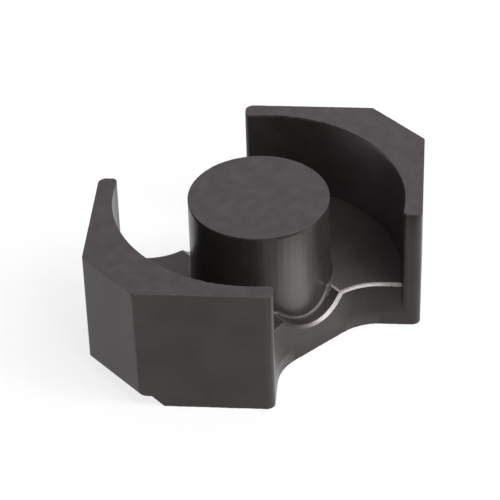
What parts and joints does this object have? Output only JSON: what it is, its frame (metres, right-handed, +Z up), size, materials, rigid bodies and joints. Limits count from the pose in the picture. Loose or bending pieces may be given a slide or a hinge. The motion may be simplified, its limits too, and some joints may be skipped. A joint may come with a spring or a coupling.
{
  "type": "ferrite core",
  "caption": "Half of a rectangular-modular ferrite core: waisted flat base, solid round centre post and corner legs that curve round an open winding window, with ground mating faces.",
  "frame": {"origin": "on the flat underside, below the axis of the centre post", "axes": "+X along the long diagonal through both legs, +Y across the waist, +Z up from the underside to the ground mating faces"},
  "size_m": [0.0228, 0.0154, 0.0082],
  "materials": {
    "ferrite": "dark grey sintered ferrite, semi-gloss pressed sides, ground and lapped tops"
  },
  "bodies": {
    "root": {"ferrite_core": "ferrite"}
  },
  "joints": []
}
